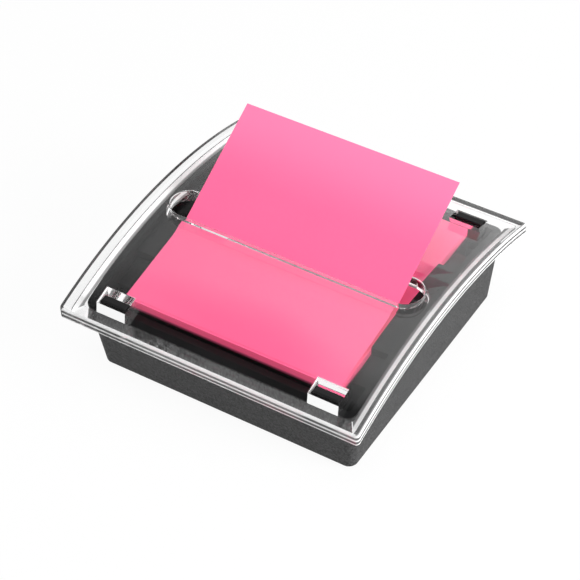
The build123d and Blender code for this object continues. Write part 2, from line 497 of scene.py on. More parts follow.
@dataclass(frozen=True)
class ClearPlastic(Finish):
    """Thick clear plastic with the faint waviness of a moulded face."""

    name: str = "clear_plastic"
    cloud: Noise = Noise(14.0, 1.0)
    tones: Tones = ((0.98, 0.985, 0.985), (0.995, 0.995, 0.995))
    wave: Noise = Noise(28.0, 1.0)
    relief: Relief = Relief(0.06, 0.4 * MM)
    shadow: Triple = (0.985, 0.99, 0.99)

    def shade(self, tree: Tree) -> None:
        """Glass-like body, faintly tinted in clouds, that lets the lamps through.

        Args:
            tree: The material's empty node tree.
        """
        where = tree.place()
        inputs = {
            "Base Color": tree.between(tree.noise(where, self.cloud), self.tones),
            "Roughness": 0.0,
            "Normal": tree.bump(tree.noise(where, self.wave), self.relief),
            **SEE_THROUGH,
        }
        tree.output(tree.lamps_pass(tree.surface(inputs), self.shadow))


@dataclass(frozen=True, kw_only=True)
class RimFinish(Finish):
    """Mostly frosted plastic along the cover's edge, with painted light and shade in lines that follow it,
    standing in for light led through the clear plastic and for reflections.

    Args:
        arch: The arch that the lines follow.
        through: How much of the surface is clear.
        painted_glow: Strength of the painted emission at the frost's light parts, standing in for light led
            through the plastic and leaving there.
    """

    arch: Arch
    through: float = 0.15
    painted_glow: float = 0.3
    speck: Noise = Noise(700.0)
    clear_rough: Span = (0.04, 0.1)
    frost_rough: float = 0.9
    shadow: Triple = (0.92, 0.92, 0.92)

    def depth(self, tree: Tree, where: NodeSocket) -> NodeSocket:
        """How far a point lies below the cover's top face.

        Args:
            tree: The material's node tree.
            where: Object coordinates.

        Returns:
            The depth along the arch's radius.
        """
        from_centre = {"Vector": where, "Location": (0.0, 0.0, -self.arch.centre)}
        moved = tree.add("ShaderNodeMapping", from_centre).outputs[0]
        level = tree.vector("MULTIPLY", moved, (0.0, 1.0, 1.0)).outputs[0]
        length = tree.vector("LENGTH", level).outputs["Value"]
        return tree.math("SUBTRACT", self.arch.radius, length)

    def light(self, tree: Tree, where: NodeSocket) -> NodeSocket:
        """How light the frost is, from 0 to 1, in painted light and shade."""
        raise NotImplementedError

    def shade(self, tree: Tree) -> None:
        """Frost from black to white in painted light and shade, shining with painted emission where it is
        light, and the clear share with a little unevenness in its gloss.

        Args:
            tree: The material's empty node tree.
        """
        where = tree.place()
        speck = tree.noise(where, self.speck)
        # Painted light and shade of the frost, from 0 to 1.
        light = self.light(tree, where)
        clear = tree.surface({"Roughness": tree.spread(speck, MIDDLE, self.clear_rough), **SEE_THROUGH})
        inputs = {
            "Base Color": tree.between(light, (BLACK, WHITE)),
            "Roughness": self.frost_rough,
            "Specular IOR Level": 0.0,
            # Painted emission where the frost is light.
            "Emission Color": rgba(WHITE),
            "Emission Strength": tree.math("MULTIPLY", light, self.painted_glow),
        }
        both = tree.mix_shaders(self.through, tree.surface(inputs), clear)
        tree.output(tree.lamps_pass(both, self.shadow))


@dataclass(frozen=True, kw_only=True)
class RimWall(RimFinish):
    """The upright outer walls: three painted light lines on the front and right, dimmed to grey by painted
    shade on the other two.
    """

    name: str = "rim_wall_painted_light"
    painted_glow: float = 0.0
    line_depth: float = 0.45 * MM
    line_pitch: float = 1.55 * MM
    line_edge: Span = (-0.5, 0.9)
    # Frost lightness of the painted light lines, darkest and lightest.
    painted_line_light: Span = (0.12, 0.95)
    # Painted shade: how light the left and back walls stay.
    far_shade_share: float = 0.2

    def light(self, tree: Tree, where: NodeSocket) -> NodeSocket:
        """Painted light lines at an even pitch down the wall, with painted shade on the left and back walls.

        Args:
            tree: The material's node tree.
            where: Object coordinates.

        Returns:
            How light the frost is, from 0 to 1, in painted light and shade.
        """
        below = tree.math("SUBTRACT", self.depth(tree, where), self.line_depth)
        turn = tree.math("MULTIPLY", below, math.tau / self.line_pitch)
        line = tree.spread(tree.math("COSINE", turn), self.line_edge, self.painted_line_light, True)
        axes = tree.axes(where)
        # Painted shade on the left and back walls, where y is greater than x.
        far = tree.math("GREATER_THAN", axes[1], axes[0])
        return tree.math("MULTIPLY", line, tree.spread(far, UNIT, (1.0, self.far_shade_share)))


@dataclass(frozen=True, kw_only=True)
class RimFacet(RimFinish):
    """The rim's riser, in painted shade at the sides and painted light at the ends, and its side bevels,
    whose painted highlight dims inwards.

    Args:
        inner: How far from the middle the bevel's inner edge lies, at the sides and at the ends.
        run: How wide the bevel is, at the sides and at the ends.
        step_depth: How far below the top face the riser ends and the bevel starts.
    """

    name: str = "rim_facet_painted_light"
    inner: Span
    run: Span
    step_depth: float
    step_edge: float = 0.05 * MM
    # Painted shade on the side risers, as a share of the bevel's light.
    riser_shade_share: float = 0.1
    # Painted highlight on the side bevels, dimming inwards.
    painted_highlight_span: Span = (0.25, 0.5)
    painted_highlight_range: Span = (0.17, 0.85)
    # Painted light on the risers at the front and back.
    painted_end_light: Triple = (0.9, 0.9, 0.9)

    def light(self, tree: Tree, where: NodeSocket) -> NodeSocket:
        """Bevels whose painted highlight dims inwards and a riser in painted shade at the sides, in painted
        light at the ends.

        Args:
            tree: The material's node tree.
            where: Object coordinates.

        Returns:
            How light the frost is, from 0 to 1.
        """
        share = []
        for axis, inner, run in zip(tree.axes(where), self.inner, self.run):
            past = tree.math("SUBTRACT", tree.math("ABSOLUTE", axis), inner)
            share.append(tree.math("DIVIDE", past, run))
        border = (self.step_depth - self.step_edge, self.step_depth + self.step_edge)
        bevel = tree.spread(self.depth(tree, where), border, UNIT, True)
        # Painted highlight across the side bevels and painted shade on the side risers.
        painted_highlight = tree.spread(share[0], self.painted_highlight_span, self.painted_highlight_range, True)
        side = tree.math("MULTIPLY", painted_highlight, tree.spread(bevel, UNIT, (self.riser_shade_share, 1.0)))
        # Painted light on the risers at the ends.
        at_end = tree.math("GREATER_THAN", share[1], share[0])
        return tree.mix(at_end, side, rgba(self.painted_end_light))


@dataclass(frozen=True, kw_only=True)
class RimBand(RimFinish):
    """The ledge under the back edge: a band of painted shade along the edge, painted light further in."""

    name: str = "rim_band_painted_shade"
    through: float = 0.0
    border: Span = (49.4 * MM, 50.2 * MM)
    # Painted light inside the band, painted shade at the edge.
    painted_band_light: Span = (0.9, 0.0)

    def light(self, tree: Tree, where: NodeSocket) -> NodeSocket:
        """Painted shade from the band's soft border to the edge."""
        return tree.spread(tree.axes(where)[1], self.border, self.painted_band_light, True)


@dataclass(frozen=True)
class WhiteFloor(Finish):
    """Pale matte floor, mostly white to rays that look at it: straight, mirrored or through the cover."""

    name: str = "white_floor"
    colour: Triple = (0.86, 0.86, 0.86)
    white_share: float = 0.94

    def shade(self, tree: Tree) -> None:
        """White light mixed into the matte floor for the rays that look at it.

        Args:
            tree: The material's empty node tree.
        """
        matte = tree.add("ShaderNodeBsdfDiffuse", {"Color": rgba(self.colour)}).outputs[0]
        white = tree.add("ShaderNodeEmission", {"Color": rgba(WHITE), "Strength": 1.0}).outputs[0]
        rays = tree.add("ShaderNodeLightPath").outputs
        seen = tree.math("MAXIMUM", rays["Is Camera Ray"], rays["Is Glossy Ray"])
        seen = tree.math("MAXIMUM", seen, rays["Is Transmission Ray"])
        tree.output(tree.mix_shaders(tree.math("MULTIPLY", seen, self.white_share), matte, white))


def finished(bm: BMesh, name: str, materials: list[Material], sharp: float | None = None) -> Object:
    """Turns a bmesh into an object at the origin.

    Args:
        bm: The finished bmesh, freed here.
        name: The piece's name.
        materials: Its material slots in order.
        sharp: Shade smooth, with edges sharper than this angle in degrees kept crisp.

    Returns:
        The linked object.
    """
    if sharp is not None:
        limit = math.radians(sharp)
        for face in bm.faces:
            face.smooth = True
        for edge in bm.edges:
            edge.smooth = len(edge.link_faces) == 2 and edge.calc_face_angle(0.0) < limit
    mesh = bpy.data.meshes.new(name)
    bm.to_mesh(mesh)
    bm.free()
    for material in materials:
        mesh.materials.append(material)
    made = bpy.data.objects.new(name, mesh)
    bpy.context.scene.collection.objects.link(made)
    return made


def verts_of(geom: list) -> list[BMVert]:
    """The vertices among mixed geometry."""
    return [v for v in geom if isinstance(v, BMVert)]


def edges_between(geom: list, verts: list[BMVert]) -> list[BMEdge]:
    """The edges among mixed geometry that join two of the vertices."""
    return [e for e in geom if isinstance(e, BMEdge) and all(v in verts for v in e.verts)]


def cut_lines(bm: BMesh, places: list[float], axis: Vector) -> None:
    """Cuts all geometry by planes across one axis.

    Args:
        bm: The bmesh to cut.
        places: Where the planes stand along the axis.
        axis: The planes' normal.
    """
    for place in places:
        parts = [*bm.verts, *bm.edges, *bm.faces]
        bmesh.ops.bisect_plane(bm, geom=parts, dist=TOUCH, plane_co=axis * place, plane_no=axis)


def spaced(low: float, high: float, step: float) -> list[float]:
    """Even places between two ends, the ends left out."""
    count = max(1, round((high - low) / step))
    return [low + (high - low) * i / count for i in range(1, count)]


def rounded(bm: BMesh, edges: list[BMEdge], radius: float, steps: int) -> list[BMFace]:
    """Rounds edges, or chamfers them in a single step.

    Args:
        bm: The bmesh that the edges belong to.
        edges: The edges, of which those that are gone are passed over.
        radius: How far the rounding reaches from each edge.
        steps: How many faces it has across.

    Returns:
        The faces of the rounding.
    """
    left = [e for e in edges if e.is_valid]
    shape = {"segments": steps, "profile": 0.5, "affect": "EDGES", "material": -1}
    return bmesh.ops.bevel(bm, geom=left, offset=radius, clamp_overlap=True, **shape)["faces"]


@dataclass
class ClearCover:
    """The clear arched cover with its stepped and bevelled rim, slot and corner windows.

    Args:
        arch: The arch of its top face.
        rim: Inset at the sides, inset at the ends and depth below the top of each ring of the rim.
        kept: Half sizes of the plan inside which the underside lies straight below the top.
    """

    arch: Arch
    width: float = 105.4 * MM
    rim: tuple[Triple, ...] = (
        (0.0, 0.0, 3.7 * MM),
        (2.7 * MM, 2.7 * MM, 3.9 * MM),
        (2.7 * MM, 2.7 * MM, 4.5 * MM),
        (5.1 * MM, 6.1 * MM, 5.5 * MM),
    )
    corner_radius: float = 1.2 * MM
    corner_steps: int = 5
    edge_radius: float = 0.7 * MM
    edge_steps: int = 4
    crease_radius: float = 0.15 * MM
    crease_steps: int = 2
    slot_length: float = 89.4 * MM
    slot_width: float = 11.5 * MM
    slot_y: float = -0.5 * MM
    slot_flare: float = 1.3 * MM
    slot_radius: float = 0.4 * MM
    slot_frame: float = 2.0 * MM
    slot_steps: int = 28
    window_x: float = 37.4 * MM
    window_y: float = 41.9 * MM
    window_shift: float = -0.7 * MM
    window_length: float = 10.4 * MM
    window_depth: float = 5.8 * MM
    window_radius: float = 0.2 * MM
    kept: Span = (46.9 * MM, 45.52 * MM)
    row_step: float = 1.6 * MM
    column_step: float = 7.0 * MM
    margin: float = 0.01 * MM
    crisp_angle: float = 38.0

    @property
    def depth(self) -> float:
        """Size from front to back."""
        return self.arch.depth

    def underside(self, y: float) -> float:
        """Height of the underside at depth y."""
        return self.arch.height(y, self.rim[-1][2])

    def windows(self) -> list[Span]:
        """Centres of the four windows."""
        return [(x * self.window_x, y * self.window_y + self.window_shift) for x in (-1, 1) for y in (-1, 1)]

    def in_frame(self, spot: Vector, room: float = 0.0) -> bool:
        """Tells if a point of the plan lies in the rectangle round the slot.

        Args:
            spot: The point.
            room: How far outside the rectangle it may lie.

        Returns:
            True if it does.
        """
        reach_x = self.slot_length / 2 + self.slot_frame + room
        reach_y = self.slot_width / 2 + self.slot_frame + room
        return abs(spot.x) < reach_x and abs(spot.y - self.slot_y) < reach_y

    def in_window(self, spot: Vector) -> bool:
        """True if a point of the plan lies in a corner window."""
        half_x, half_y = self.window_length / 2, self.window_depth / 2
        return any(abs(spot.x - x) < half_x and abs(spot.y - y) < half_y for x, y in self.windows())

    def lines(self, fixed: list[float], half: float, step: float) -> list[float]:
        """Grid lines at fixed places and evenly between them.

        Args:
            fixed: The fixed places.
            half: Half the length that the lines divide, with its middle at 0.
            step: About how far apart the lines are.

        Returns:
            The places in order, the two ends left out.
        """
        stops = sorted({-half, half, *fixed})
        found = [*stops[1:-1]]
        for low, high in zip(stops, stops[1:]):
            found += spaced(low, high, step)
        return sorted(found)

    def slot_outline(self, bm: BMesh) -> None:
        """Draws the slot's outline as loose edges: two spun ends joined by straight sides.

        Args:
            bm: The bmesh to draw in.
        """
        radius = self.slot_width / 2
        run = self.slot_length / 2 - radius
        half_turn = {"axis": (0, 0, 1), "angle": math.pi, "steps": self.slot_steps}
        starts, ends = [], []
        for side in (1, -1):
            start = bm.verts.new((side * run, self.slot_y - side * radius, 0.0))
            middle = (side * run, self.slot_y, 0.0)
            last = bmesh.ops.spin(bm, geom=[start], cent=middle, **half_turn)["geom_last"]
            starts.append(start)
            ends += verts_of(last)
        bm.edges.new((ends[0], starts[1]))
        bm.edges.new((ends[1], starts[0]))

    def plan(self, bm: BMesh) -> None:
        """Draws the cover's plan as a flat sheet with its slot and windows open.

        Args:
            bm: The empty bmesh to draw in.
        """
        bmesh.ops.create_grid(bm, x_segments=1, y_segments=1, size=0.5)
        bmesh.ops.scale(bm, vec=(self.width, self.depth, 1.0), verts=bm.verts)
        frame_x = self.slot_length / 2 + self.slot_frame
        frame_y = self.slot_width / 2 + self.slot_frame
        columns, rows = [-frame_x, frame_x], [self.slot_y - frame_y, self.slot_y + frame_y]
        for x, y in self.windows():
            columns += [x - self.window_length / 2, x + self.window_length / 2]
            rows += [y - self.window_depth / 2, y + self.window_depth / 2]
        cut_lines(bm, self.lines(rows, self.depth / 2, self.row_step), Vector((0, 1, 0)))
        self.slot_outline(bm)
        cut_lines(bm, self.lines(columns, self.width / 2, self.column_step), Vector((1, 0, 0)))
        spots = {f: f.calc_center_median() for f in bm.faces}
        holes = [f for f, spot in spots.items() if self.in_frame(spot) or self.in_window(spot)]
        bmesh.ops.delete(bm, geom=holes, context="FACES")
        room = self.margin
        ring = [e for e in bm.edges if not e.link_faces]
        ring += [e for e in bm.edges if e.is_boundary and all(self.in_frame(v.co, room) for v in e.verts)]
        bmesh.ops.triangle_fill(bm, edges=ring, use_beauty=True, normal=(0.0, 0.0, 1.0))
        corners = [v for v in bm.verts if len(v.link_edges) == 2 and abs(v.co.x) > self.kept[0]]
        shape = {"segments": self.corner_steps, "profile": 0.5, "affect": "VERTICES", "material": -1}
        bmesh.ops.bevel(bm, geom=corners, offset=self.corner_radius, **shape)

    def kind(self, vert: BMVert) -> Rim:
        """Tells which outline a vertex of the plan lies on.

        Args:
            vert: The vertex.

        Returns:
            The outline.
        """
        if not vert.is_boundary:
            return Rim.NONE
        if abs(vert.co.x) > self.kept[0] or abs(vert.co.y) > self.kept[1]:
            return Rim.OUTSIDE
        return Rim.SLOT if self.in_frame(vert.co) else Rim.WINDOW

    def inset(self, spot: Vector, level: int) -> Vector:
        """A point of the outside moved inwards to one ring of the rim."""
        side, end, _ = self.rim[level - 1]
        return Vector((spot.x * (1 - 2 * side / self.width), spot.y * (1 - 2 * end / self.depth), 0.0))

    def squeezed(self, spot: Vector) -> Vector:
        """Draws a point of the underside in where the rim's facets take its room.

        Args:
            spot: The point on the top face's plan.

        Returns:
            The point on the underside's plan.
        """
        moved = []
        halves = (self.width / 2, self.depth / 2)
        for value, keep, half, inset in zip(spot.xy, self.kept, halves, self.rim[-1]):
            beyond = max(0.0, abs(value) - keep) * (half - inset - keep) / (half - keep)
            moved.append(math.copysign(min(abs(value), keep) + beyond, value))
        return Vector((*moved, 0.0))

    def lowered(self, spot: Vector, rim: Rim) -> Vector:
        """Where a point of the plan goes on the underside.

        Args:
            spot: The point on the top face's plan.
            rim: The outline that it lies on.

        Returns:
            The point on the underside's plan.
        """
        if rim is Rim.OUTSIDE:
            return self.inset(spot, len(self.rim))
        return spot if rim in (Rim.SLOT, Rim.WINDOW) else self.squeezed(spot)

    def placed(self, spot: Vector, rim: Rim, level: int) -> Vector:
        """Where a point goes on the arch.

        Args:
            spot: The point on the plan.
            rim: The outline that it lies on.
            level: 0 on the top face, then one for each ring of the rim, the last on the underside.

        Returns:
            The point in the shared frame.
        """
        if level == 0:
            return Vector((*spot.xy, self.arch.height(spot.y)))
        flat = self.lowered(spot, rim) if level == len(self.rim) else self.inset(spot, level)
        return Vector((*flat.xy, self.arch.height(flat.y, self.rim[level - 1][2])))

    def at_side(self, face: BMFace) -> bool:
        """True for a face of the rim on the left or right, still on its plan."""
        spot = face.calc_center_median()
        return self.width / 2 - abs(spot.x) < self.depth / 2 - abs(spot.y)

    def at_back(self, face: BMFace) -> bool:
        """True for a face of the rim at the back, still on its plan."""
        return face.calc_center_median().y > 0 and not self.at_side(face)

    def skin(self, face: BMFace, levels: set[int]) -> Skin:
        """Tells which surface a face belongs to.

        Args:
            face: The face, still on its plan.
            levels: The levels that it joins.

        Returns:
            The surface: outer wall, riser or side bevel, back ledge or the clear rest.
        """
        if levels == {0, 1}:
            return Skin.WALL
        if levels == {2, 3} or (levels == {3, 4} and self.at_side(face)):
            return Skin.FACET
        return Skin.BAND if levels == {1, 2} and self.at_back(face) else Skin.CLEAR

    def build(self) -> BMesh:
        """Builds the cover's mesh.

        Returns:
            A bmesh whose faces have the material slots of their surfaces.
        """
        bm = bmesh.new()
        self.plan(bm)
        layer = bm.verts.layers.int.new("rim")
        for vert in bm.verts:
            vert[layer] = self.kind(vert).value
        grown = bmesh.ops.extrude_face_region(bm, geom=bm.faces[:])["geom"]
        bmesh.ops.translate(bm, vec=(0, 0, -1), verts=verts_of(grown))
        outer = Rim.OUTSIDE.value
        upright = [e for e in bm.edges if e.verts[0].co.z != e.verts[1].co.z]
        upright = [e for e in upright if all(v[layer] == outer for v in e.verts)]
        bmesh.ops.subdivide_edges(bm, edges=upright, cuts=len(self.rim) - 1, use_grid_fill=True)
        level = {v: round(-v.co.z * len(self.rim)) for v in bm.verts}
        loops: dict[tuple[Rim, int], list[BMEdge]] = {}
        for edge in bm.edges:
            a, b = edge.verts
            walls = sum(1 for f in edge.link_faces if len({level[v] for v in f.verts}) > 1)
            if level[a] == level[b] and walls:
                loops.setdefault((Rim(a[layer]), level[a]), []).append(edge)
        for face in bm.faces:
            face.material_index = self.skin(face, {level[v] for v in face.verts}).value
        for vert in bm.verts:
            vert.co = self.placed(vert.co, Rim(vert[layer]), level[vert])
        self.soften(bm, loops)
        bmesh.ops.recalc_face_normals(bm, faces=bm.faces)
        return bm

    def soften(self, bm: BMesh, loops: dict[tuple[Rim, int], list[BMEdge]]) -> None:
        """Rounds the edges along each outline of the cover, and chamfers the slot's lower edge.

        Args:
            bm: The cover's bmesh, on the arch.
            loops: The edges of each outline at each level.
        """
        last = len(self.rim)
        brow = rounded(bm, loops[Rim.OUTSIDE, 0], self.edge_radius, self.edge_steps)
        for face in brow:
            face.material_index = Skin.WALL.value
        rounded(bm, loops[Rim.SLOT, 0], self.slot_radius, self.edge_steps)
        rounded(bm, loops[Rim.WINDOW, 0], self.window_radius, self.edge_steps)
        rounded(bm, loops[Rim.WINDOW, last], self.window_radius, self.crease_steps)
        for level in range(1, last + 1):
            rounded(bm, loops[Rim.OUTSIDE, level], self.crease_radius, self.crease_steps)
        rounded(bm, loops[Rim.SLOT, last], self.slot_flare, 1)

    def finishes(self) -> list[Finish]:
        """The finishes of the cover's surfaces.

        Returns:
            One finish for each material slot, in order.
        """
        step, bevel = self.rim[-2:]
        inner = (self.width / 2 - bevel[0], self.depth / 2 - bevel[1])
        run = (bevel[0] - step[0], bevel[1] - step[1])
        facet = RimFacet(arch=self.arch, inner=inner, run=run, step_depth=step[2])
        return [ClearPlastic(), RimWall(arch=self.arch), facet, RimBand(arch=self.arch)]

    def dress(self) -> Object:
        """Makes the finished piece and puts it in the CAD cover's place.

        Returns:
            The finished piece.
        """
        materials = [finish.material() for finish in self.finishes()]
        made = finished(self.build(), "clear_cover", materials, self.crisp_angle)
        even = made.modifiers.new("even_normals", "WEIGHTED_NORMAL")
        even.keep_sharp = True
        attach(made, Body.COVER.value)
        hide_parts("cover")
        return made


@dataclass
class NotePad:
    """The pad: a stack of separate sheets whose edges don't quite line up.

    Args:
        cover: The cover that it lies under.
        headroom: How far its back edge lies below the cover.
        well: Heights between which the sheets turn black in painted shade, standing in for the shadow of the
            casing's well.
    """

    cover: ClearCover
    side: float = 76.2 * MM
    height: float = 10.0 * MM
    sheets: int = 100
    y: float = 1.0 * MM
    headroom: float = 0.7 * MM
    stray: float = 0.06 * MM
    gap_share: float = 0.06
    seed: int = 7
    pale: Triple = (0.98, 0.16, 0.33)
    deep: Triple = (0.95, 0.135, 0.3)
    # Painted emission stronger than the popped note's, lifting the shade of the pad under the cover.
    painted_glow: float = 0.28
    # Heights of the painted shade on the pad's sides, deep in the well.
    well: Span = (21.6 * MM, 23.6 * MM)

    @property
    def top(self) -> float:
        """Height of the top sheet."""
        return self.cover.underside(self.y + self.side / 2) - self.headroom

    def build(self) -> BMesh:
        """Builds the stack.

        Returns:
            One thin box a sheet, each a little out of line with the last.
        """
        bm = bmesh.new()
        draw = random.Random(self.seed)
        low = self.top - self.height
        pitch = self.height / self.sheets
        thin = pitch * (1 - self.gap_share)
        side = self.side - 2 * self.stray
        for index in range(self.sheets):
            shift = [draw.uniform(-self.stray, self.stray) for _ in range(2)]
            spot = Vector((shift[0], self.y + shift[1], low + pitch * index + thin / 2))
            place = Matrix.Translation(spot) @ Matrix.Diagonal((side, side, thin, 1.0))
            bmesh.ops.create_cube(bm, size=1.0, matrix=place)
        return bm

    def dress(self) -> Object:
        """Makes the finished piece and puts it in the CAD pad's place.

        Returns:
            The finished piece.
        """
        # The pad's paper: the note's paper with stronger painted emission and painted shade low in the well.
        paper = NotePaper("pad_paper", self.pale, self.deep, painted_glow=self.painted_glow, painted_shade_heights=self.well)
        made = finished(self.build(), "pad_of_notes", [paper.material()])
        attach(made, Body.BASE.value)
        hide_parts("note_pad")
        return made


@dataclass
class PoppedNote:
    """The top note: a slight ramp up from the pad, bent under the cover and leaning back out of the slot.

    Args:
        cover: The cover that it leans out of.
        pad: The pad that it comes from.
        drawn: How far its front edge is drawn back over the pad.
    """

    cover: ClearCover
    pad: NotePad
    thickness: float = 0.1 * MM
    bend_radius: float = 12.0 * MM
    lean: float = math.radians(28.0)
    drawn: float = 0.6 * MM
    pad_gap: float = 0.1 * MM
    lip_gap: float = 0.5 * MM
    ramp_steps: int = 12
    bend_steps: int = 12
    straight_steps: int = 40
    across: int = 16
    # Heights over which the painted highlight makes the note paler towards its top.
    painted_highlight_heights: Span = (40.0 * MM, 52.0 * MM)
    crisp_angle: float = 40.0

    def lip(self) -> Span:
        """Depth and height of the bend's upper end, close under the slot's front lip."""
        y = self.cover.slot_y - self.cover.slot_width / 2 - self.cover.slot_flare
        return y, self.cover.underside(y) - self.lip_gap - self.thickness

    def bend_centre(self) -> Span:
        """Depth and height of the bend's centre."""
        y, z = self.lip()
        return y - self.bend_radius * math.sin(self.lean), z + self.bend_radius * math.cos(self.lean)

    def ramp(self) -> Span:
        """Works out the ramp, which runs from the pad's front into the bend without a kink.

        Returns:
            Its slope and its length.
        """
        y, z = self.bend_centre()
        run = y - (self.pad.y - self.pad.side / 2) - self.drawn
        rise = z - self.pad.top - self.pad_gap
        slope = math.atan2(rise, run) - math.asin(self.bend_radius / math.hypot(run, rise))
        return slope, math.sqrt(run**2 + rise**2 - self.bend_radius**2)

    def path(self, bm: BMesh) -> None:
        """Draws the sheet without thickness: the ramp level, then the bend and the straight part.

        Args:
            bm: The empty bmesh to draw in.
        """
        slope, length = self.ramp()
        bend = self.lean - slope
        straight = self.pad.side - length - self.bend_radius * bend
        bmesh.ops.create_grid(bm, x_segments=self.across, y_segments=self.ramp_steps, size=0.5)
        bmesh.ops.scale(bm, vec=(self.pad.side, length, 1.0), verts=bm.verts)
        bmesh.ops.translate(bm, vec=(0.0, -length / 2, 0.0), verts=bm.verts)
        edge = [e for e in bm.edges if all(abs(v.co.y) < TOUCH for v in e.verts)]
        turn = {"axis": (1, 0, 0), "angle": bend, "steps": self.bend_steps}
        last = bmesh.ops.spin(bm, geom=edge, cent=(0.0, 0.0, self.bend_radius), **turn)["geom_last"]
        step = Vector((0.0, math.cos(bend), math.sin(bend))) * straight / self.straight_steps
        for _ in range(self.straight_steps):
            edge = [e for e in last if isinstance(e, BMEdge)]
            last = bmesh.ops.extrude_edge_only(bm, edges=edge)["geom"]
            bmesh.ops.translate(bm, vec=step, verts=verts_of(last))
        bmesh.ops.remove_doubles(bm, verts=bm.verts, dist=TOUCH)

    def build(self) -> BMesh:
        """Builds the sheet along its own path, then gives it its thickness.

        Returns:
            The closed sheet.
        """
        bm = bmesh.new()
        self.path(bm)
        slope, _ = self.ramp()
        y, z = self.bend_centre()
        start = (0.0, y + self.bend_radius * math.sin(slope), z - self.bend_radius * math.cos(slope))
        bmesh.ops.rotate(bm, cent=(0, 0, 0), matrix=Matrix.Rotation(slope, 3, "X"), verts=bm.verts)
        bmesh.ops.translate(bm, vec=start, verts=bm.verts)
        bmesh.ops.recalc_face_normals(bm, faces=bm.faces)
        if sum(f.normal.z for f in bm.faces) < 0:
            bmesh.ops.reverse_faces(bm, faces=bm.faces)
        bmesh.ops.solidify(bm, geom=bm.faces[:], thickness=-self.thickness)
        bmesh.ops.recalc_face_normals(bm, faces=bm.faces)
        # Painted highlight: each vertex's share of the paler tone, rising with height.
        painted_highlight = bm.verts.layers.float.new(PAINTED_HIGHLIGHT_LAYER)
        low, high = self.painted_highlight_heights
        for vert in bm.verts:
            share = min(1.0, max(0.0, (vert.co.z - low) / (high - low)))
            vert[painted_highlight] = share * share * (3 - 2 * share)
        return bm

    def dress(self) -> Object:
        """Makes the finished piece, which lies under the cover at its lower end and stands out of the slot
        at its upper end.

        Returns:
            The finished piece.
        """
        made = finished(self.build(), "popped_note_sheet", [NotePaper().material()], self.crisp_angle)
        lip = Vector((0.0, *self.lip()))
        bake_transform(made)
        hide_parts("popped_note")
        return made


